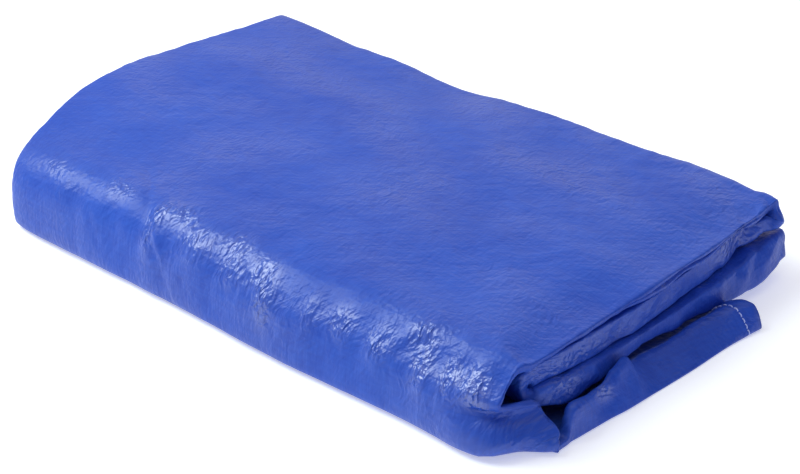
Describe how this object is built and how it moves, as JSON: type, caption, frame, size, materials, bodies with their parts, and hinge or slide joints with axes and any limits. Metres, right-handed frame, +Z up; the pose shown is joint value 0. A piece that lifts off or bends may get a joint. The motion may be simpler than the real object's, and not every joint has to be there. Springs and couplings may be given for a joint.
{
  "type": "folded pool cover",
  "caption": "Large sheet of coated woven polyethylene, folded back and forth into a low flat pack; opened out it covers a garden pool.",
  "frame": {"origin": "middle of the pack's footprint, on the surface that it rests on", "axes": "+X along the long side, towards the end where the open folds show; -Y towards the round front fold; +Z up"},
  "size_m": [0.5644, 0.34, 0.0712],
  "materials": {
    "coated_weave": "blue woven polyethylene, coated and finely creased, with a soft plastic gloss"
  },
  "bodies": {
    "root": {"cover": "coated_weave"}
  },
  "joints": []
}
